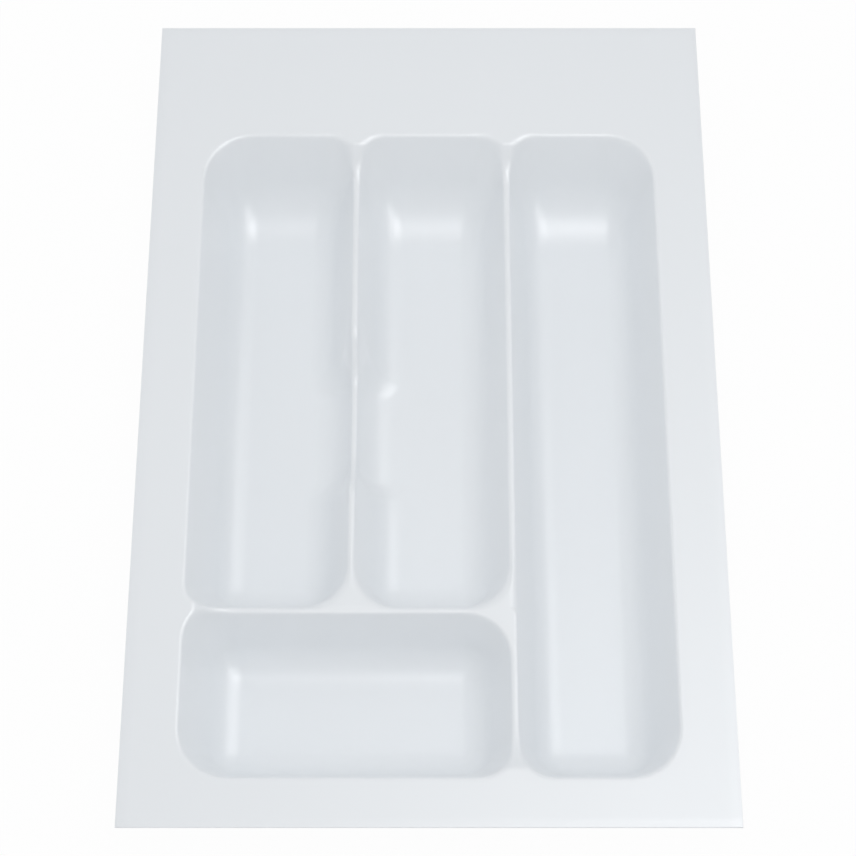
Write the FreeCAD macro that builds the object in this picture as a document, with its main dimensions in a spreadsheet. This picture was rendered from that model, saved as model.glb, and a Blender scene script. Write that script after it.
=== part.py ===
import FreeCAD, Part
import math
import os
import Sketcher
from FreeCAD import Vector

# Cutlery tray: one sheet of white plastic, drawn down from a flat rim into four wells.
#
# Plan places are measured from the front left corner of the rim, +X to the right and +Y to the back,
# and heights from the surface that the floors stand on. The finished tray is centred on its plan.
#
# The sheet is what lies between two skins. Under each skin is a block, with the four wells and the
# space over the dividers' ridges cut out of it. The lower skin is the upper one set off by the sheet's
# thickness, and its block taken out of the upper block leaves the sheet. All bends of the upper skin
# are rounded. The lower one, which is out of sight, has flats or plain edges there.

SIZES = {
    # the whole tray, trimmed square
    "tray_width": 362.0,
    "tray_length": 540.0,
    "tray_height": 60.0,
    "sheet_thickness": 2.0,
    # flat rim, from the trimmed edge to where the wells' walls start
    "side_rim_width": 33.5,
    "front_rim_width": 29.0,
    "back_rim_width": 84.0,
    # dividers' centre lines, as shares of the way from the left or front edge of the wells to the other
    "left_divider_share": 0.3373,
    "right_divider_share": 0.6746,
    "cross_divider_share": 0.2459,
    # walls lean out by the draft, in degrees, and all bends inside a well have one round
    "wall_draft": 15.0,
    "floor_round": 22.0,
    "flat_corner_round": 1.5,
    # the back of a long well leans further and runs into the floor by a ramp, laid along a large round
    "scoop_draft": 25.0,
    "scoop_round": 44.0,
    # dividers: how far the ridges lie below the rim, the flat left on top of them between their
    # rounded edges, and how their ends climb to the rim a little way inside its edge
    "ridge_drop": 14.0,
    "ridge_flat_width": 1.0,
    "end_slope": 45.0,
    "end_foot_round": 8.0,
    "end_setback": 6.0,
    # dip in the left divider, with its middle as a share of the way from the cross divider to the back
    "dip_place_share": 0.4084,
    "dip_depth": 20.0,
    "dip_slope": 37.5,
    "dip_floor_length": 56.0,
    "dip_round": 14.0,
    # how far cutting shapes stand clear of what they cut
    "overrun": 4.0,
}

RIGHT_ANGLE = 90.0
# turn of a skin at an edge from which the edge counts as sharp, and as steep
SHARP_ANGLE = 8.0
STEEP_ANGLE = 45.0


class Size:
    """A size that keeps both its number and the formula that works it out from the sheet's cells."""

    def __init__(self, number, formula):
        self.number = number
        self.formula = formula

    @classmethod
    def of(cls, value):
        return value if isinstance(value, Size) else Size(value, str(value))

    def __add__(self, other):
        other = Size.of(other)
        return Size(self.number + other.number, f"({self.formula} + {other.formula})")

    def __sub__(self, other):
        other = Size.of(other)
        return Size(self.number - other.number, f"({self.formula} - {other.formula})")

    def __rsub__(self, other):
        return Size.of(other) - self

    def __mul__(self, other):
        other = Size.of(other)
        return Size(self.number * other.number, f"({self.formula} * {other.formula})")

    def __truediv__(self, other):
        other = Size.of(other)
        return Size(self.number / other.number, f"({self.formula} / {other.formula})")


def tangent(angle):
    return Size(math.tan(math.radians(angle.number)), f"tan({angle.formula})")


def cosine(angle):
    return Size(math.cos(math.radians(angle.number)), f"cos({angle.formula})")


doc = FreeCAD.newDocument("cutlery_tray")


def fill_sheet():
    """The spreadsheet of driving dimensions, one named cell for each."""
    sheet = doc.addObject("Spreadsheet::Sheet", "dims")
    for row, (name, value) in enumerate(SIZES.items(), 1):
        sheet.set(f"A{row}", name)
        sheet.set(f"B{row}", str(value))
        sheet.setAlias(f"B{row}", name)
    doc.recompute()
    return {name: Size(sheet.get(name), f"{sheet.Name}.{name}") for name in SIZES}


dims = fill_sheet()
NONE = Size(0, "0")

# plan places of the rim's inner edges and of the dividers' centre lines
mouth_left = dims["side_rim_width"]
mouth_right = dims["tray_width"] - dims["side_rim_width"]
mouth_front = dims["front_rim_width"]
mouth_back = dims["tray_length"] - dims["back_rim_width"]
left_divider = mouth_left + (mouth_right - mouth_left) * dims["left_divider_share"]
right_divider = mouth_left + (mouth_right - mouth_left) * dims["right_divider_share"]
cross_divider = mouth_front + (mouth_back - mouth_front) * dims["cross_divider_share"]

# how far a bend of unit radius reaches from the corner that it rounds, and a bend of half that turn
half_turn = (RIGHT_ANGLE - dims["wall_draft"]) / 2
wall_bend = tangent(half_turn)
scoop_bend = tangent((RIGHT_ANGLE - dims["scoop_draft"]) / 2)
ramp_bend = tangent((RIGHT_ANGLE - dims["scoop_draft"]) / 4)

# bends of the lower skin: flats that reach in to the middle of the sheet
lower_round = dims["floor_round"] + dims["sheet_thickness"]
flat_reach = lower_round / cosine(half_turn) - (lower_round - dims["sheet_thickness"] / 2)
lower_flat = flat_reach / cosine(RIGHT_ANGLE - half_turn)

# ridges, with the round that leaves their tops almost no flat and that the rim's edge has too
ridge_height = dims["tray_height"] - dims["ridge_drop"]
ridge_half_width = dims["ridge_drop"] * tangent(dims["wall_draft"])
edge_round = (ridge_half_width - dims["ridge_flat_width"] / 2) / wall_bend

# the dip, and the step of the walls beside it that keeps the divider's width
dip_middle = cross_divider + (mouth_back - cross_divider) * dims["dip_place_share"]
dip_step = dims["dip_depth"] * tangent(dims["wall_draft"])


def floor_corner(inset):
    """Corner round of a floor's outline, just wide enough for the bend of the walls to run round it."""
    return (dims["floor_round"] + inset) * wall_bend + dims["flat_corner_round"]


def dip_half_lengths(inset):
    """Half lengths of the dip at its floor and at the ridge, on a skin set off by the given amount."""
    inner = dims["dip_floor_length"] / 2 + inset * tangent(dims["dip_slope"] / 2)
    outer = inner + dims["dip_depth"] / tangent(dims["dip_slope"])
    return inner, outer


def set_size(thing, path, size):
    thing.setExpression(path, size.formula)


def close(first, second):
    return abs(first - second) < FreeCAD.Base.Precision.approximation()


def new_sketch(body, name, plane, offset):
    """A sketch on a plane of its own body, moved along the plane's normal by an offset."""
    sketch = body.newObject("Sketcher::SketchObject", name)
    planes = {feature.Role: feature for feature in body.Origin.OriginFeatures}
    sketch.AttachmentSupport = (planes[plane], [""])
    sketch.MapMode = "FlatFace"
    set_size(sketch, "AttachmentOffset.Base.z", offset)
    return sketch


def corner_arc(before, corner, after, radius):
    """Start, middle and end of the arc that rounds a corner between its two neighbours."""
    to_before = (before - corner).normalize()
    to_after = (after - corner).normalize()
    half_angle = to_before.getAngle(to_after) / 2
    inward = (to_before + to_after).normalize()
    reach = radius / math.tan(half_angle)
    middle = corner + inward * (radius / math.sin(half_angle) - radius)
    return corner + to_before * reach, middle, corner + to_after * reach


def hold(sketch, size, kind, *ends):
    """A dimension of a sketch, bound to the formula of its size."""
    index = sketch.addConstraint(Sketcher.Constraint(kind, *ends, size.number))
    set_size(sketch, f"Constraints[{index}]", size)


def draw_outline(sketch, corners):
    """A closed outline through corners (place, place, round), held by its corner points and rounds."""
    points = [Vector(across.number, along.number) for across, along, _ in corners]
    count = len(points)
    arcs = []
    for index, (_, _, radius) in enumerate(corners):
        ends = (points[index],) * 3
        if radius is not NONE:
            ends = corner_arc(points[index - 1], points[index], points[(index + 1) % count], radius.number)
        arcs.append(ends)
    lines = []
    for index in range(count):
        segment = Part.LineSegment(arcs[index][2], arcs[(index + 1) % count][0])
        lines.append(sketch.addGeometry(segment, False))
    for index, (across, along, radius) in enumerate(corners):
        incoming, outgoing = lines[index - 1], lines[index]
        mark = sketch.addGeometry(Part.Point(points[index]), True)
        sketch.addConstraint(Sketcher.Constraint("PointOnObject", mark, 1, incoming))
        sketch.addConstraint(Sketcher.Constraint("PointOnObject", mark, 1, outgoing))
        hold(sketch, across, "DistanceX", -1, 1, mark, 1)
        hold(sketch, along, "DistanceY", -1, 1, mark, 1)
        if radius is NONE:
            sketch.addConstraint(Sketcher.Constraint("Coincident", incoming, 2, outgoing, 1))
            continue
        arc = sketch.addGeometry(Part.Arc(*arcs[index]), False)
        forward = close(sketch.getPoint(arc, 1).distanceToPoint(arcs[index][0]), 0)
        first, last = (1, 2) if forward else (2, 1)
        sketch.addConstraint(Sketcher.Constraint("Tangent", incoming, 2, arc, first))
        sketch.addConstraint(Sketcher.Constraint("Tangent", outgoing, 1, arc, last))
        hold(sketch, radius, "Radius", arc)


def sharp_edges(shape, least=SHARP_ANGLE):
    """Numbers and edges of a solid where two of its faces meet at no less than an angle."""
    found = []
    for number, edge in enumerate(shape.Edges, 1):
        middle = edge.valueAt((edge.FirstParameter + edge.LastParameter) / 2)
        normals = []
        for face in shape.ancestorsOfType(edge, Part.Face):
            normals.append(face.normalAt(*face.Surface.parameter(middle)))
        if len(normals) == 2 and math.degrees(normals[0].getAngle(normals[1])) > least:
            found.append((number, edge))
    return found


def well_corners(left, right, front, back, rounds, dip_side, inset):
    """Corners of a well's floor, counter-clockwise from the front left, with the step at the dip."""
    front_left, front_right, back_right, back_left = rounds
    inner, outer = dip_half_lengths(inset)
    bend = dims["floor_round"] + inset
    corners = [(left, front, front_left), (right, front, front_right)]
    if dip_side == "right":
        corners.append((right, dip_middle - outer, bend))
        corners.append((right + dip_step, dip_middle - inner, bend))
        corners.append((right + dip_step, dip_middle + inner, bend))
        corners.append((right, dip_middle + outer, bend))
    corners += [(right, back, back_right), (left, back, back_left)]
    if dip_side == "left":
        corners.append((left, dip_middle + outer, bend))
        corners.append((left - dip_step, dip_middle + inner, bend))
        corners.append((left - dip_step, dip_middle - inner, bend))
        corners.append((left, dip_middle - outer, bend))
    return corners


def add_draft(body, name, base, angle, leaning):
    """Leans the chosen walls of a well out from its floor, which keeps its outline."""
    walls = []
    floors = []
    for number, face in enumerate(base.Shape.Faces, 1):
        first_u, last_u, first_v, last_v = face.ParameterRange
        normal = face.normalAt((first_u + last_u) / 2, (first_v + last_v) / 2)
        if close(normal.z, -1):
            floors.append(f"Face{number}")
        elif close(normal.z, 0) and leaning(normal):
            walls.append(f"Face{number}")
    draft = body.newObject("PartDesign::Draft", name)
    draft.Base = (base, walls)
    draft.NeutralPlane = (base, floors)
    draft.Reversed = True
    set_size(draft, "Angle", angle)
    doc.recompute()
    return draft


def edges_below_rim(shape, least):
    """Names of a well's bent edges, without those round its mouth."""
    rim = dims["tray_height"].number
    return [f"Edge{number}" for number, edge in sharp_edges(shape, least) if not close(edge.BoundBox.ZMin, rim)]


def make_well(name, place, wide_corners, scoop, dip_side, inset):
    """The room inside a well: its floor drawn up to the rim, its walls leaned out, its bends rounded."""
    left, right, front, back = place
    floor = dims["sheet_thickness"] - inset
    depth = dims["tray_height"] - floor
    back_draft = dims["scoop_draft"] if scoop else dims["wall_draft"]
    lean = depth * tangent(dims["wall_draft"]) - inset / cosine(dims["wall_draft"])
    back_lean = depth * tangent(back_draft) - inset / cosine(back_draft)
    rounds = [floor_corner(inset) if wide else NONE for wide in wide_corners]

    body = doc.addObject("PartDesign::Body", name)
    sketch = new_sketch(body, f"{name}_floor", "XY_Plane", floor)
    draw_outline(sketch, well_corners(
        left + lean, right - lean, front + lean, back - back_lean, rounds, dip_side, inset))
    room = body.newObject("PartDesign::Pad", f"{name}_room")
    room.Profile = sketch
    set_size(room, "Length", depth)
    doc.recompute()

    def at_back(normal):
        return close(normal.y, 1)

    if scoop:
        room = add_draft(body, f"{name}_back", room, back_draft, at_back)
    room = add_draft(body, f"{name}_walls", room, dims["wall_draft"], lambda n: not (scoop and at_back(n)))
    if scoop:
        foot = (back - back_lean).number
        low = [edge for edge in sharp_edges(room.Shape) if close(edge[1].BoundBox.ZMax, floor.number)]
        ramp = body.newObject("PartDesign::Chamfer", f"{name}_ramp")
        ramp.Base = (room, [f"Edge{number}" for number, edge in low if close(edge.BoundBox.YMin, foot)])
        set_size(ramp, "Size", (dims["scoop_round"] + inset) * (scoop_bend - ramp_bend))
        doc.recompute()
        room = ramp
    if inset is NONE:
        bends = body.newObject("PartDesign::Fillet", f"{name}_rounds")
        bends.Base = (room, edges_below_rim(room.Shape, SHARP_ANGLE))
        set_size(bends, "Radius", dims["floor_round"])
    else:
        bends = body.newObject("PartDesign::Chamfer", f"{name}_flats")
        bends.Base = (room, edges_below_rim(room.Shape, STEEP_ANGLE))
        set_size(bends, "Size", lower_flat)
    return body


def make_wells(skin, inset):
    """The four wells. Corners at the rim and where dividers meet are wide, those at dividers' ends not."""
    left_place = (mouth_left, left_divider, cross_divider, mouth_back)
    middle_place = (left_divider, right_divider, cross_divider, mouth_back)
    right_place = (right_divider, mouth_right, mouth_front, mouth_back)
    front_place = (mouth_left, right_divider, mouth_front, cross_divider)
    return [
        make_well(f"{skin}_left_well", left_place, (False, True, False, False), True, "right", inset),
        make_well(f"{skin}_middle_well", middle_place, (True, True, False, False), True, "left", inset),
        make_well(f"{skin}_right_well", right_place, (False, True, False, False), True, None, inset),
        make_well(f"{skin}_front_well", front_place, (True, False, True, False), False, None, inset),
    ]


def make_run(name, plane, offset, width, corners):
    """The space over a divider's ridge: its long profile, drawn out evenly to both sides."""
    body = doc.addObject("PartDesign::Body", name)
    profile = new_sketch(body, f"{name}_profile", plane, offset)
    draw_outline(profile, corners)
    pad = body.newObject("PartDesign::Pad", f"{name}_space")
    pad.Profile = profile
    pad.SideType = "Symmetric"
    set_size(pad, "Length", width)
    return body


def make_runs(skin, inset):
    """The spaces over the three dividers; the cross one is wide enough to level the webs on it."""
    ridge = ridge_height - inset
    top = dims["tray_height"] + dims["overrun"]
    climb = (top - ridge) / tangent(dims["end_slope"])
    foot = dims["end_setback"] + dims["ridge_drop"] / tangent(dims["end_slope"])
    foot = foot - inset * tangent(dims["end_slope"] / 2)
    foot_round = dims["end_foot_round"] + inset
    inner, outer = dip_half_lengths(inset)
    crest_round = dims["dip_round"] - inset
    hollow_round = dims["dip_round"] + inset
    dip = ridge - dims["dip_depth"]
    back = mouth_back - foot
    front = mouth_front + foot
    left = mouth_left + foot
    narrow = dims["floor_round"] * 2
    wide = (floor_corner(inset) + dims["tray_height"] * tangent(dims["wall_draft"])) * 2
    beyond = right_divider + dims["floor_round"]

    left_run = make_run(f"{skin}_left_run", "YZ_Plane", left_divider, narrow, [
        (cross_divider, ridge, NONE),
        (dip_middle - outer, ridge, crest_round),
        (dip_middle - inner, dip, hollow_round),
        (dip_middle + inner, dip, hollow_round),
        (dip_middle + outer, ridge, crest_round),
        (back, ridge, foot_round),
        (back + climb, top, NONE),
        (cross_divider, top, NONE),
    ])
    right_run = make_run(f"{skin}_right_run", "YZ_Plane", right_divider, narrow, [
        (front, ridge, foot_round),
        (back, ridge, foot_round),
        (back + climb, top, NONE),
        (front - climb, top, NONE),
    ])
    cross_run = make_run(f"{skin}_cross_run", "XZ_Plane", NONE - cross_divider, wide, [
        (left, ridge, foot_round),
        (beyond, ridge, NONE),
        (beyond, top, NONE),
        (left - climb, top, NONE),
    ])
    return [left_run, right_run, cross_run]


def inner_edges(shape, block):
    """Names of the edges where a skin's faces meet at an angle, without those on the block's outside."""
    outside = block.Shape.BoundBox
    outside.enlarge(-dims["overrun"].number)
    names = []
    for number, edge in sharp_edges(shape):
        middle = edge.BoundBox.Center
        if outside.isInside(Vector(middle.x, middle.y, outside.Center.z)):
            names.append(f"Edge{number}")
    return names


def make_block(skin, inset, margin):
    """The block under one skin, with its wells and the spaces over its dividers cut out."""
    block = doc.addObject("Part::Box", f"{skin}_block")
    set_size(block, "Length", dims["tray_width"] + margin * 2)
    set_size(block, "Width", dims["tray_length"] + margin * 2)
    set_size(block, "Height", dims["tray_height"] - inset + dims["overrun"] + margin)
    set_size(block, "Placement.Base.x", NONE - margin)
    set_size(block, "Placement.Base.y", NONE - margin)
    set_size(block, "Placement.Base.z", NONE - dims["overrun"] - margin)

    spaces = doc.addObject("Part::MultiFuse", f"{skin}_spaces")
    spaces.Shapes = make_wells(skin, inset) + make_runs(skin, inset)
    cut = doc.addObject("Part::Cut", f"{skin}_cut")
    cut.Base = block
    cut.Tool = spaces
    cut.Refine = True
    doc.recompute()
    return block, cut


def make_upper_skin():
    """The upper block with the rim's inner edge and the dividers' ridges rounded."""
    block, cut = make_block("upper", NONE, NONE)
    body = doc.addObject("PartDesign::Body", "upper_skin")
    body.BaseFeature = cut
    doc.recompute()
    base = body.Tip
    rounds = body.newObject("PartDesign::Fillet", "upper_edges")
    rounds.Base = (base, inner_edges(base.Shape, block))
    set_size(rounds, "Radius", edge_round)
    doc.recompute()
    return body


def make_tray():
    """The sheet between the two skins, centred on its plan."""
    tray = doc.addObject("Part::Cut", "tray")
    tray.Base = make_upper_skin()
    tray.Tool = make_block("lower", dims["sheet_thickness"], dims["overrun"])[1]
    tray.Label = "tray"
    set_size(tray, "Placement.Base.x", NONE - dims["tray_width"] / 2)
    set_size(tray, "Placement.Base.y", NONE - dims["tray_length"] / 2)
    doc.recompute()
    return tray


def check_document(parts):
    """Stops at any object that failed, and at any piece whose shape is missing or unsound."""
    for thing in doc.Objects:
        if "Invalid" in thing.State or "Error" in thing.State:
            raise RuntimeError(f"{thing.Name} failed: {thing.State}")
    for part in parts:
        if part.Shape.isNull() or not part.Shape.isValid():
            raise RuntimeError(f"{part.Label} has no sound shape")


parts = [make_tray()]
check_document(parts)
os.makedirs("parts", exist_ok=True)
for part in parts:
    box = part.Shape.optimalBoundingBox(False, False)
    print(f"{part.Label}: {box.XLength:.2f} x {box.YLength:.2f} x {box.ZLength:.2f} mm,"
          f" {len(part.Shape.Solids)} solid, {len(part.Shape.Faces)} faces, {part.Shape.Volume:.0f} mm3")
    part.Shape.exportStep(f"parts/{part.Label}.step")
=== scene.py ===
# %% [markdown]
# # A cutlery tray, formed from one sheet of plastic
#
# A drawer insert like this starts as a flat sheet of white plastic. The sheet is heated until it sags, drawn
# down into a mould by a vacuum, and trimmed square. So the whole object is one smooth skin: a flat rim, four
# wells, and dividers that are folds of the same sheet. This file loads the solid model as a fixed frame, makes
# that skin again as a fine mesh, gives it a satin plastic finish, and lights it softly on a white table.

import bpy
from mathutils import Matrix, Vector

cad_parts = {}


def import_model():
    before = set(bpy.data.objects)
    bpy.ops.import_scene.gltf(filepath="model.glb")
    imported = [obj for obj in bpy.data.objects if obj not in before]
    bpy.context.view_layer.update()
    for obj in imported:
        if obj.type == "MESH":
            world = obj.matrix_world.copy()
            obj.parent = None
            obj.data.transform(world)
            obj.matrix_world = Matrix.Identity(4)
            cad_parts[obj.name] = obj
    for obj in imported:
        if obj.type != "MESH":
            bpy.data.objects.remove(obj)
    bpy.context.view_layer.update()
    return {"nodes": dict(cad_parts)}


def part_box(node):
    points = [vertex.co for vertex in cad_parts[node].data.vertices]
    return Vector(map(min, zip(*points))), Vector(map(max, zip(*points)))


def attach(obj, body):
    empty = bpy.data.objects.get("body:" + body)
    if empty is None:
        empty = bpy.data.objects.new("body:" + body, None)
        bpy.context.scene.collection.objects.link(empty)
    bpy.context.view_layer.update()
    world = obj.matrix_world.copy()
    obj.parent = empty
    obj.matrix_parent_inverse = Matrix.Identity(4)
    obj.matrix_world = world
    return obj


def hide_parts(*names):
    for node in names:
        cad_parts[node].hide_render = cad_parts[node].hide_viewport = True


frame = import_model()

import math
from collections import namedtuple

import bpy
import numpy as np

low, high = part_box("tray")
print("frame of", len(frame["nodes"]), "node, solid tray", [round(high[i] - low[i], 4) for i in range(3)], "m")

# %% [markdown]
# ## Sizes
#
# The frame gives the outside of the tray. What lies inside it is written in millimetres, because that is how
# a toolmaker would note it: the plan here, and every bend and slope where it is first needed. Places in the
# plan are measured from the middle of the tray, with +Y to the back, and heights from the table.

# %% Plan of the tray
MM = 0.001
tray_width, tray_length, rim_height = [(high[i] - low[i]) / MM for i in range(3)]
sheet = 2.0
side_rim, front_rim, back_rim = 33.5, 29.0, 84.0
left_well_width, middle_well_width, front_well_length = 99.5, 99.5, 105.0
ridge_drop = 14.0
# rounds of the wells' corners at the rim: at the outside, at the dividers' ends, and two tighter kinds
wide_corner, end_corner, back_corner, tight_corner = 33.0, 22.0, 16.0, 14.0

left = side_rim - tray_width / 2
left_divider = left + left_well_width
right_divider = left_divider + middle_well_width
right = tray_width / 2 - side_rim
front = front_rim - tray_length / 2
cross_divider = front + front_well_length
back = tray_length / 2 - back_rim
ridge_height = rim_height - ridge_drop
print("dividers at", [round(v, 2) for v in (left_divider, right_divider, cross_divider)], "mm,",
      "ridges at", round(ridge_height, 2), "mm")

# %% [markdown]
# ## The skin as a distance
#
# Smooth bends are what the eye reads as formed plastic, and they are hard to model face by face. Here the
# skin is a formula instead. Every wall, floor and slope is a plane, and the distance to a plane is one line of
# arithmetic. Where two planes meet, a ball of the bend's radius is rolled along the corner. The surface is
# wherever the combined distance is zero. The same rolling ball makes the bends inside a well, the roll at the
# rim's edge and the crest of a ridge, so nothing has to be stitched.

# %% Rolling a ball along a corner
def rounded(one, other, radius, cosine=0.0):
    """Distance to two faces whose corner is rounded; cosine is that of the angle between their normals."""
    u, v = one + radius, other + radius
    between = (u > v * cosine) & (v > u * cosine)
    square = (u * u + v * v - 2 * u * v * cosine) / (1 - cosine ** 2)
    return np.where(between, np.sqrt(np.maximum(square, 0)) - radius, np.maximum(one, other))


def smooth_step(value):
    """A share from 0 to 1 that starts and ends gently."""
    share = np.clip(value, 0, 1)
    return share * share * (3 - 2 * share)


print("a square corner rounded by 2 mm is cut back by", round(float(rounded(0.0, 0.0, 2.0)), 3), "mm")

# %% [markdown]
# ## The spaces over the dividers
#
# A divider's ridge lies below the rim. At each end it climbs to the rim on a slope, and a foot bend softens
# the start of the climb. The left divider also has a dip, where fingers reach under a handle. Each profile is
# drawn along its divider, positive in the plastic and negative in the air above it.

# %% Profiles along the dividers
end_slope, end_setback, foot_bend = math.radians(45), 6.0, 24.0
dip_offset, dip_depth, dip_floor, dip_bend = 131.5, 20.0, 56.0, 14.0
dip_slope = math.radians(37.5)
dip_middle = cross_divider + dip_offset


def climb(run_out, height):
    """Distance to the slope at a divider's end; run_out is measured outwards from the slope's foot."""
    return run_out * math.sin(end_slope) - (height - ridge_height) * math.cos(end_slope)


def dip_profile(along, height):
    """Distance to the left divider's crest line, with its dip."""
    out = np.abs(along - dip_middle) - dip_floor / 2
    floor = ridge_height - dip_depth - height
    slope = out * math.sin(dip_slope) + floor * math.cos(dip_slope)
    dip = rounded(slope, floor, dip_bend, math.cos(dip_slope))
    return -rounded(height - ridge_height, -dip, dip_bend, math.cos(dip_slope))


print("the dip goes down to", round(ridge_height - dip_depth, 2), "mm, its middle is at",
      round(dip_middle, 2), "mm")

# %% Air over the dividers
usual_draft = math.radians(17)
foot = end_setback + ridge_drop / math.tan(end_slope)
web_reach = wide_corner + ridge_drop * math.tan(usual_draft)


def divider_air(x, y, z):
    """Distance to the air over the three dividers."""
    steep = math.cos(end_slope)
    level = ridge_height - z
    back_end = climb(y - (back - foot), z)
    front_end = climb(front + foot - y, z)
    left_end = climb(left + foot - x, z)
    over_left = rounded(dip_profile(y, z), back_end, foot_bend, steep)
    over_left = np.maximum(over_left, np.maximum(np.abs(x - left_divider) - end_corner, cross_divider - y))
    over_right = rounded(rounded(level, back_end, foot_bend, steep), front_end, foot_bend, steep)
    over_right = np.maximum(over_right, np.abs(x - right_divider) - end_corner)
    over_cross = rounded(level, left_end, foot_bend, steep)
    over_cross = np.maximum(over_cross, np.maximum(np.abs(y - cross_divider) - web_reach, x - right_divider))
    return np.minimum(np.minimum(over_left, over_right), over_cross)


print("a ridge starts to climb", round(foot, 2), "mm from the rim's line")

# %% [markdown]
# ## The wells
#
# Walls lean out so that the tray comes off its mould, each by its own angle. The back of each long well leans
# further and runs into the floor by a large scoop, so that a knife slides up to the hand. Front, floor and back
# are one profile, and the side walls roll into it by the same ball, which grows with height where a corner is
# wide at the rim. A wall along a divider stands up above the ridge, so that the ridge keeps a crest while it
# climbs to the rim, and the long dividers get wider there. Beside the dip the walls step out, which keeps the
# divider thin. Last, the rolled edges get softer where dividers meet each other or the rim, because hot
# plastic bridges such places.

# %% Walls
left_draft, right_draft, front_draft, scoop_draft = [math.radians(v) for v in (18, 14, 13, 25)]
divider_draft, cross_draft, front_well_draft = [math.radians(v) for v in (20.5, 16, 23)]
upright_draft, upright_blend = math.radians(6), 6.0
ridge_half = 1.2

# a wall stands on a line of the plan, which it reaches at its level, and leans by its draft
Side = namedtuple("Side", "line level draft")
at_left = Side(left, rim_height, left_draft)
at_right = Side(right, rim_height, right_draft)
at_front = Side(front, rim_height, front_draft)
at_back = Side(back, rim_height, scoop_draft)
before_left = Side(left_divider - ridge_half, ridge_height, divider_draft)
past_left = Side(left_divider + ridge_half, ridge_height, divider_draft)
before_right = Side(right_divider - ridge_half, ridge_height, divider_draft)
past_right = Side(right_divider + ridge_half, ridge_height, divider_draft)
before_cross = Side(cross_divider - ridge_half, ridge_height, front_well_draft)
past_cross = Side(cross_divider + ridge_half, ridge_height, cross_draft)


def wall(outward, height, side):
    """Distance to a wall that leans in below its level; outward is measured from its line."""
    above = height - side.level
    lean = -above * math.tan(side.draft)
    if side.level == ridge_height:
        over_ridge = (above + np.hypot(above, upright_blend)) / 2
        lean = lean + over_ridge * (math.tan(side.draft) - math.tan(upright_draft))
    return (outward + lean) * math.cos(side.draft)


print("the left wall comes in by", round((rim_height - sheet) * math.tan(left_draft), 2), "mm on its way down")

# %% Steps beside the dip
step_back, step_back_lean = 30.5, math.radians(16)
step_front, step_front_lean = 40.0, math.radians(3)
step_out, step_lean, step_blend, blend_growth = 5.6, math.radians(7), 12.0, 0.5
crest_spare = 0.6
CAP_POWER = 8


def dip_step(along, height):
    """How far the walls beside the dip step out, between two ends that lean apart."""
    from_middle = along - dip_middle
    up = height - sheet
    beside_slope = np.maximum(height - (ridge_height - dip_depth), 0) / math.tan(dip_slope)
    to_back = step_back + up * math.tan(step_back_lean) + beside_slope - from_middle
    to_front = step_front + up * math.tan(step_front_lean) + beside_slope + from_middle
    inside = np.minimum(to_back, to_front) / (step_blend + blend_growth * np.maximum(up, 0))
    # the step is never larger than the room that the divider has at this height
    room = np.maximum((ridge_height - height) * math.tan(divider_draft) - crest_spare, 0)
    full = step_out + up * math.tan(step_lean)
    capped = room * full / (room ** CAP_POWER + full ** CAP_POWER) ** (1 / CAP_POWER)
    return capped * smooth_step(inside + 0.5)


print("beside the dip the walls step out by", round(float(dip_step(dip_middle, sheet)), 2), "mm at the floor")

# %% One well
floor_bend, scoop_bend, front_well_bend = 17.5, 44.0, 25.0
# share of a well's length over which its front corners' rounds turn into those of its back corners, and
# share of its height at which the corners' walls have become square to each other
blend_share, square_share = 0.4, 0.5


def well_air(x, y, z, place, corners, back_bend, step_left=0.0, step_right=0.0):
    """Distance to the air in a well; corners are its rounds at the rim from the front left on."""
    west, east, south, north = place
    across = np.maximum(wall(west.line - step_left - x, z, west), wall(x - east.line - step_right, z, east))
    ends = rounded(wall(south.line - y, z, south), sheet - z, floor_bend, math.sin(south.draft))
    ends = rounded(wall(y - north.line, z, north), ends, back_bend, math.sin(north.draft))
    front_left, front_right, back_right, back_left = corners
    at_west = x < (west.line + east.line) / 2
    to_back = smooth_step(((y - south.line) / (north.line - south.line) - 0.5) / blend_share + 0.5)
    corner = np.where(at_west, front_left + (back_left - front_left) * to_back,
                      front_right + (back_right - front_right) * to_back)
    up = np.clip((z - sheet) / (rim_height - sheet), 0, 1)
    steep = math.sin(usual_draft) * (1 - (1 - math.sin(usual_draft)) * smooth_step(up / square_share))
    return rounded(across, ends, floor_bend + (corner - floor_bend) * up, steep)


print("floor bends of", floor_bend, "mm run into corners of", tight_corner, "to", wide_corner, "mm at the rim")

# %% Four wells
end_flare, flare_run = 2.6, 34.0


def wells_air(x, y, z):
    """Distance to the air in all four wells."""
    step = dip_step(y, z)
    flare_back = end_flare * smooth_step(1 - (back - y) / flare_run)
    flare_front = end_flare * smooth_step(1 - (y - front) / flare_run)
    rooms = [
        well_air(x, y, z, (at_left, before_left, past_cross, at_back),
                 (tight_corner, wide_corner, back_corner, wide_corner), scoop_bend,
                 step_right=step - flare_back),
        well_air(x, y, z, (past_left, before_right, past_cross, at_back),
                 (wide_corner, wide_corner, back_corner, back_corner), scoop_bend,
                 step_left=step - flare_back, step_right=-flare_back),
        well_air(x, y, z, (past_right, at_right, at_front, at_back),
                 (end_corner, wide_corner, wide_corner, back_corner), scoop_bend,
                 step_left=-flare_back - flare_front),
        well_air(x, y, z, (at_left, before_right, at_front, before_cross),
                 (wide_corner, end_corner, wide_corner, end_corner), front_well_bend,
                 step_right=-flare_front),
    ]
    return np.minimum.reduce(rooms)


clear = -float(wells_air((right_divider + right) / 2, 0.0, rim_height))
print("from the middle of the right well's mouth it is", round(clear, 2), "mm to the nearest wall")

# %% Rolled edges and the whole skin
edge_round = 2.6
web_round, cusp_round, web_spread, cusp_spread = 4.5, 1.8, 60.0, 30.0


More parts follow.
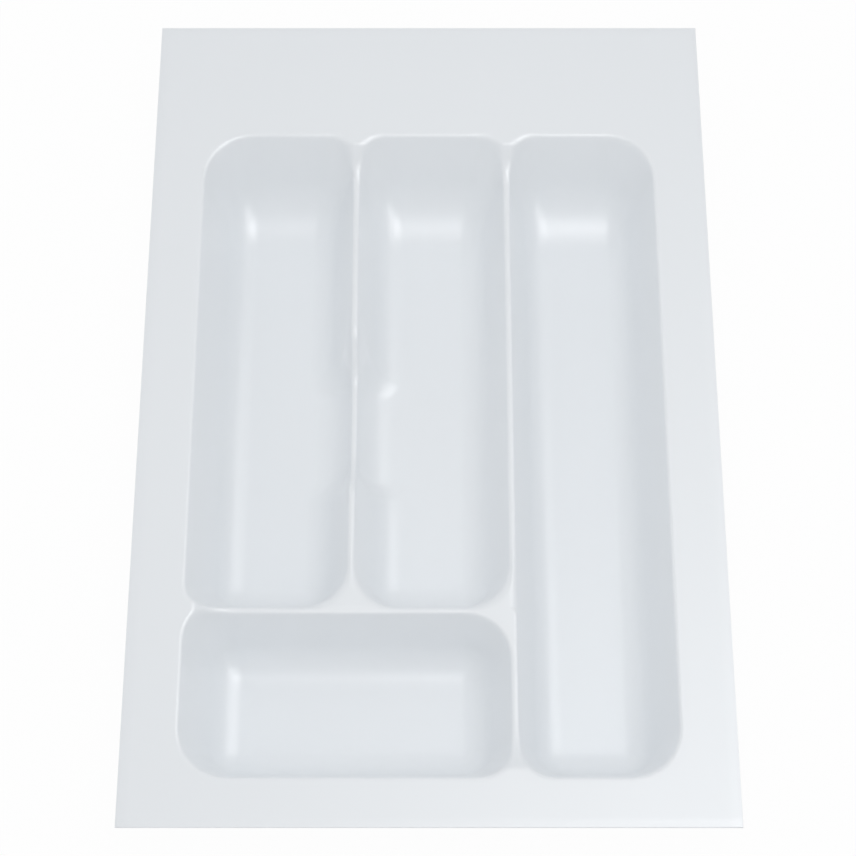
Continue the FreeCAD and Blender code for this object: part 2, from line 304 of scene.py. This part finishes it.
def edge_radius(x, y):
    """Radius of the rolled edges, which grows where dividers meet each other or the rim."""
    webs = [(left_divider, cross_divider), (right_divider, cross_divider)]
    cusps = [(left_divider, back), (right_divider, back), (right_divider, front)]
    radius = edge_round
    # at the webs, only the edges of the long wells are softer
    web_extra = web_round * smooth_step((y - cross_divider) / web_round + 0.5)
    for places, extra, spread in ((webs, web_extra, web_spread), (cusps, cusp_round, cusp_spread)):
        for place_x, place_y in places:
            radius = radius + extra * smooth_step(1 - np.hypot(x - place_x, y - place_y) / spread)
    return radius


def skin(x, y, z):
    """Distance to the tray's upper skin, positive in the air above it."""
    over = rounded(z - rim_height, -divider_air(x, y, z), edge_round, math.cos(end_slope))
    return rounded(over, -wells_air(x, y, z), edge_radius(x, y), math.sin(usual_draft))


print("edges are rolled by", edge_round, "mm, and by", round(float(edge_radius(right_divider, back)), 2),
      "mm at a divider's back end")

# %% [markdown]
# ## From formula to mesh
#
# The skin has no overhang, so a grid seen from above can carry it. The grid lines are close together wherever
# walls stand or bend, and far apart on the flats, which keeps the mesh small. Each crossing is lifted to the
# skin. A Solidify modifier could then thicken the sheet, but below the thin crests its faces would fold over
# each other. So the underside is a second grid, lifted to where the same distance says one sheet's thickness.
# It is out of sight, so it takes every other line only.

# %% Grid lines
FINEST, FINE, COARSE = 0.5, 1.3, 8.0
spare = 2.0
corner_zone = wide_corner + spare
scoop_zone = corner_zone + scoop_bend / 2
roll_zone = edge_round + spare / 2
half_dip = dip_floor / 2 + dip_depth / math.tan(dip_slope) + dip_bend


def past(line):
    """Stops on a well's edge and past it, where its wall comes down."""
    return [(line - roll_zone, FINEST), (line + roll_zone, FINE), (line + corner_zone, COARSE)]


def before(line, zone):
    """Stops before a well's far edge, where its wall goes up."""
    return [(line - zone, FINE), (line - roll_zone, FINEST), (line + roll_zone, COARSE)]


def around(line):
    """Stops on both sides of a divider."""
    return [(line - corner_zone, FINE)] + past(line)


def grid_lines(stops):
    """Lines through a list of (place, greatest step up to the next place), an even count for each stretch."""
    lines = []
    for (start, step), (end, _) in zip(stops, stops[1:]):
        count = 2 * math.ceil((end - start) / step / 2)
        lines.append(np.linspace(start, end, count, endpoint=False))
    return np.concatenate(lines + [[stops[-1][0]]])


columns = grid_lines([
    (-tray_width / 2, COARSE), *past(left), *around(left_divider), *around(right_divider),
    *before(right, corner_zone), (tray_width / 2, COARSE),
])
rows = grid_lines([
    (-tray_length / 2, COARSE), *past(front), *around(cross_divider),
    (dip_middle - half_dip, FINE), (dip_middle + half_dip, COARSE),
    *before(back, scoop_zone), (tray_length / 2, COARSE),
])
print("grid of", len(columns), "by", len(rows), "lines")

# %% Lift the grids to the skin
HALVINGS = 40


def solve_height(distance, shape, lowest, highest):
    """Heights where a distance that grows with height passes zero, by halving."""
    lower, upper = np.full(shape, float(lowest)), np.full(shape, float(highest))
    for _ in range(HALVINGS):
        middle = (lower + upper) / 2
        in_air = distance(middle) > 0
        upper = np.where(in_air, middle, upper)
        lower = np.where(in_air, lower, middle)
    return (lower + upper) / 2


def lifted(across, along, depth):
    """Points of a grid, lifted to a depth inside the plastic."""
    x, y = [lines.ravel() for lines in np.meshgrid(across, along)]
    z = solve_height(lambda height: skin(x, y, height) + depth, x.shape, -sheet, rim_height + sheet)
    return np.stack([x, y, z], axis=1)


top = lifted(columns, rows, 0)
under = lifted(columns[::2], rows[::2], sheet)
print("top from", round(top[:, 2].min(), 3), "to", round(top[:, 2].max(), 3), "mm, underside from",
      round(under[:, 2].min(), 3), "to", round(under[:, 2].max(), 3), "mm")

# %% Faces of the sheet
def grid_faces(across, along, first):
    """Corner numbers of a grid's faces, counter-clockwise from above, and of the points round its border."""
    number = first + np.arange(across * along).reshape(along, across)
    quads = [number[:-1, :-1], number[:-1, 1:], number[1:, 1:], number[1:, :-1]]
    border = [number[0, :-1], number[:-1, -1], number[-1, :0:-1], number[:0:-1, 0]]
    return np.stack(quads, axis=-1).reshape(-1, 4), np.concatenate(border)


top_faces, top_border = grid_faces(len(columns), len(rows), 0)
under_faces, under_border = grid_faces(len(columns[::2]), len(rows[::2]), len(top))
# round the outer edge, every other point of the top stands over one of the underside
matched, between = top_border[::2], top_border[1::2]
edge_faces = np.stack([matched, under_border, np.roll(under_border, -1), np.roll(matched, -1), between], axis=1)
print("faces", len(top_faces), "above,", len(under_faces), "below and", len(edge_faces), "round the edge")

# %% The sheet
trim_width, TRIM_SEGMENTS = 0.35, 2
SHARP_ANGLE = math.radians(40)


def border_weights(mesh):
    """One for each edge that runs round the sheet's outer border, above or below, and zero for the rest."""
    on_border = np.zeros(len(mesh.vertices), dtype=bool)
    on_border[top_border] = on_border[under_border] = True
    ends = np.empty(len(mesh.edges) * 2, dtype=np.int32)
    mesh.edges.foreach_get("vertices", ends)
    first, last = ends.reshape(-1, 2).T
    same_side = (first < len(top)) == (last < len(top))
    return (on_border[first] & on_border[last] & same_side).astype(np.float32)


def formed_sheet(name):
    """The tray as one mesh: both lifted grids and the trimmed edge between them, which is barely broken."""
    mesh = bpy.data.meshes.new(name)
    points = np.concatenate([top, under]) * MM
    faces = top_faces.tolist() + under_faces[:, ::-1].tolist() + edge_faces.tolist()
    mesh.from_pydata(points.tolist(), [], faces)
    weights = mesh.attributes.new("bevel_weight_edge", "FLOAT", "EDGE")
    weights.data.foreach_set("value", border_weights(mesh))
    piece = bpy.data.objects.new(name, mesh)
    bpy.context.scene.collection.objects.link(piece)
    trim = piece.modifiers.new("trimmed edge", "BEVEL")
    trim.limit_method = "WEIGHT"
    trim.width = trim_width * MM
    trim.segments = TRIM_SEGMENTS
    evaluated = piece.evaluated_get(bpy.context.evaluated_depsgraph_get())
    piece.data = bpy.data.meshes.new_from_object(evaluated)
    piece.modifiers.clear()
    bpy.data.meshes.remove(mesh)
    piece.data.shade_smooth()
    piece.data.set_sharp_from_angle(angle=SHARP_ANGLE)
    return piece


tray = formed_sheet("tray_sheet")
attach(tray, "root")
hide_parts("tray")
print("sheet of", len(tray.data.vertices), "points and", len(tray.data.polygons), "faces")

# %% [markdown]
# ## Shader maths as Python
#
# A procedural finish is arithmetic on coordinates. Written with nodes and links it is hard to read, so one
# small class wraps a node's output and lets Python's own operators add the Math nodes. Every other node comes
# from one method that takes the node's type, its settings and what goes into its sockets.

# %% A socket that can be added and multiplied
class Wire:
    """An output socket in a node tree. Arithmetic on it adds Math nodes."""

    def __init__(self, tree, socket):
        self.tree = tree
        self.socket = socket

    def node(self, kind, settings=None, output=0, **inputs):
        """A new node, as the wire of one of its outputs. An input goes by its name, or by i and its number."""
        node = self.tree.nodes.new(kind)
        for name, value in (settings or {}).items():
            setattr(node, name, value)
        for name, value in inputs.items():
            key = int(name[1:]) if name[1:].isdigit() else name
            self.join(value, node.inputs[key])
        return Wire(self.tree, node.outputs[output])

    def join(self, value, socket):
        """Links a wire to a socket, or sets a plain value on it."""
        if isinstance(value, Wire):
            self.tree.links.new(value.socket, socket)
        else:
            socket.default_value = value

    def maths(self, operation, one, other):
        """A Math node on two values or wires."""
        return self.node("ShaderNodeMath", {"operation": operation}, i0=one, i1=other)

    def __add__(self, other):
        return self.maths("ADD", self, other)

    def __sub__(self, other):
        return self.maths("SUBTRACT", self, other)

    def __rsub__(self, other):
        return self.maths("SUBTRACT", other, self)

    def __mul__(self, other):
        return self.maths("MULTIPLY", self, other)

    __radd__ = __add__
    __rmul__ = __mul__


def new_finish(name):
    """A new material, its shader, and the wire of its coordinates to start from."""
    material = bpy.data.materials.new(name)
    material.use_nodes = True
    tree = material.node_tree
    shader = tree.nodes["Principled BSDF"]
    return material, shader, Wire(tree, tree.nodes.new("ShaderNodeTexCoord").outputs["Object"])


print("a wire takes + - and *, each as one Math node")

# %% [markdown]
# ## Satin white plastic
#
# The sheet is a cool white with a soft sheen. Three things keep it from looking like paint: the colour drifts a
# little, in faint clouds and a little darker towards the bottom of the wells; the gloss is uneven in faint
# clouds;
# and the surface has the very fine orange-peel of a sheet that touched its mould on the other side.
# The roughness stays above 0.28 all over, because the renderer's noise filter treats a smoother gloss as a
# mirror, and clouds that cross that line show as blotches.

# %% White plastic finish
# the colour at the rim's height, and the slightly darker one at the bottom of the wells
RIM_WHITE = (0.885, 0.905, 0.925, 1.0)
DEEP_WHITE = (0.865, 0.888, 0.91, 1.0)
DEPTH_SHARE, CLOUD_SHARE = 0.7, 0.3
CLOUD_SCALE, CLOUD_DETAIL = 18.0, 3.0
GRAIN_SCALE, GRAIN_DETAIL = 650.0, 2.0
LEAST_ROUGHNESS, ROUGHNESS_DRIFT = 0.285, 0.06
PEEL_STRENGTH, PEEL_DEPTH = 0.05, 0.0002
PLASTIC_IOR = 1.5


def white_plastic():
    """Satin white plastic, a little darker towards the bottom of the wells, with cloudy gloss and fine
    orange-peel.
    """
    material, shader, place = new_finish("white_plastic")
    height = place.node("ShaderNodeSeparateXYZ", output=2, Vector=place)
    clouds = place.node("ShaderNodeTexNoise", Vector=place, Scale=CLOUD_SCALE, Detail=CLOUD_DETAIL)
    grain = place.node("ShaderNodeTexNoise", Vector=place, Scale=GRAIN_SCALE, Detail=GRAIN_DETAIL)
    # the colour turns slightly darker with depth below the rim, and drifts in faint clouds
    depth_and_clouds = (1 - height * (1 / (rim_height * MM))) * DEPTH_SHARE + clouds * CLOUD_SHARE
    colour = place.node("ShaderNodeMix", {"data_type": "RGBA"}, output=2,
                        i0=depth_and_clouds, i6=RIM_WHITE, i7=DEEP_WHITE)
    place.join(colour, shader.inputs["Base Color"])
    place.join(clouds * ROUGHNESS_DRIFT + LEAST_ROUGHNESS, shader.inputs["Roughness"])
    peel = place.node("ShaderNodeBump", Strength=PEEL_STRENGTH, Distance=PEEL_DEPTH, Height=grain)
    place.join(peel, shader.inputs["Normal"])
    shader.inputs["IOR"].default_value = PLASTIC_IOR
    return material


tray.data.materials.append(white_plastic())
print("finish", tray.data.materials[0].name, "with", len(tray.data.materials[0].node_tree.nodes), "nodes")

# %% [markdown]
# ## White table
#
# A catalogue picture stands on nothing but white. A backdrop could be lit until it is white, but then the tray
# would be too bright as well. So the table glows only for the rays that come from the camera, or that are
# reflected or let through by the object. The small share that is left of its own shading keeps the shadow.

# %% White table
TABLE_WHITE, TABLE_ROUGHNESS = (0.9, 0.9, 0.9, 1.0), 0.9
GLOW_WHITE, GLOW_SHARE = (1.0, 1.0, 1.0, 1.0), 0.96
# in metres; the table lies a hair below the tray, so that their faces don't share a plane
table_reach, table_drop = 6.0, 0.0005


def white_table():
    """A white table that the camera and reflections see brighter than its light."""
    material, shader, place = new_finish("white_table")
    shader.inputs["Base Color"].default_value = TABLE_WHITE
    shader.inputs["Roughness"].default_value = TABLE_ROUGHNESS
    seen = place.node("ShaderNodeLightPath", output="Is Camera Ray")
    for kind in ("Is Glossy Ray", "Is Transmission Ray"):
        seen = place.maths("MAXIMUM", seen, place.node("ShaderNodeLightPath", output=kind))
    glow = place.node("ShaderNodeEmission", Color=GLOW_WHITE, Strength=1.0)
    shaded = Wire(place.tree, shader.outputs[0])
    surface = place.node("ShaderNodeMixShader", i0=seen * GLOW_SHARE, i1=shaded, i2=glow)
    place.join(surface, place.tree.nodes["Material Output"].inputs["Surface"])
    return material


table_mesh = bpy.data.meshes.new("table")
corner_signs = [(-1, -1), (1, -1), (1, 1), (-1, 1)]
table_mesh.from_pydata([(table_reach * a, table_reach * b, 0) for a, b in corner_signs], [], [(0, 1, 2, 3)])
table = bpy.data.objects.new("table", table_mesh)
table.location.z = -table_drop
bpy.context.scene.collection.objects.link(table)
table_mesh.materials.append(white_table())
print("table", table_reach * 2, "m square")

# %% [markdown]
# ## Light
#
# The light is soft and comes from all round. White plastic needs two kinds of lamp besides. Weak ones light
# only the body, and set how bright a wall is by the way it faces: from overhead, from behind, from the left and
# from the front. Wide ones at the right show only in the shine, and draw the bright lines along the rolls,
# scoops and floor bends. Kept apart, each kind can be set without spoiling the other.

# %% Lamps
BODY, SHINE = False, True
# name, tilts from straight up to the right and to the front in degrees, distance and size in metres, watts,
# and what the lamp is for
LAMPS = [
    ("overhead", 9, 6, 1.0, 0.6, 1.65, BODY),
    ("from behind", 0, -40, 3.0, 1.2, 4.4, BODY),
    ("from the left", -35, 0, 3.0, 1.2, 2.4, BODY),
    ("from the front", 0, 45, 3.0, 1.2, 0.9, BODY),
    ("front right shine", 20, 10, 3.0, 1.3, 24.0, SHINE),
    ("wide shine", 20, 10, 3.0, 2.4, 28.0, SHINE),
    ("right shine", 45, -8, 3.0, 1.8, 17.0, SHINE),
    ("low right shine", 50, 35, 3.0, 1.0, 13.0, SHINE),
]


def soft_lamp(name, right_tilt, front_tilt, distance, size, watts, shine):
    """A square lamp that faces the tray. It shows in the shine, or lights the body."""
    lamp = bpy.data.lights.new(name, "AREA")
    lamp.size = size
    lamp.energy = watts
    item = bpy.data.objects.new(name, lamp)
    bpy.context.scene.collection.objects.link(item)
    toward = np.array([math.tan(math.radians(right_tilt)), -math.tan(math.radians(front_tilt)), 1.0])
    item.location = toward / np.linalg.norm(toward) * distance
    item.rotation_euler = item.location.to_track_quat("Z", "Y").to_euler()
    item.visible_diffuse = not shine
    item.visible_glossy = shine
    return item


lamps = [soft_lamp(*row) for row in LAMPS]
print("lamps", [item.name for item in lamps])

# %% Light from all round
DOME_WHITE, DOME_STRENGTH = (0.97, 0.985, 1.0, 1.0), 0.658
world = bpy.data.worlds.new("studio")
world.use_nodes = True
dome = world.node_tree.nodes["Background"]
dome.inputs["Color"].default_value = DOME_WHITE
dome.inputs["Strength"].default_value = DOME_STRENGTH
bpy.context.scene.world = world
bpy.context.scene.view_settings.view_transform = "Standard"
print("dome of strength", DOME_STRENGTH)

# %% [markdown]
# ## Camera
#
# The camera stands in front of the tray and looks steeply down into the wells. Its tilt, distance and lens
# were found together, from where the rim's four corners and the wells' edges lie in the picture: a long lens
# from further off would show the back of the rim wider.

# %% Camera
tilt = math.radians(21.74)
aim = np.array([-0.59, -22.47, rim_height]) * MM
stand_off = 1202.33 * MM
focal_length, sensor_width = 81.16, 36.0

lens = bpy.data.cameras.new("camera")
lens.lens = focal_length
lens.sensor_width = sensor_width
camera = bpy.data.objects.new("camera", lens)
bpy.context.scene.collection.objects.link(camera)
camera.location = aim + stand_off * np.array([0, -math.sin(tilt), math.cos(tilt)])
camera.rotation_euler = (tilt, 0, 0)
bpy.context.scene.camera = camera
print("camera at", [round(v, 4) for v in camera.location])
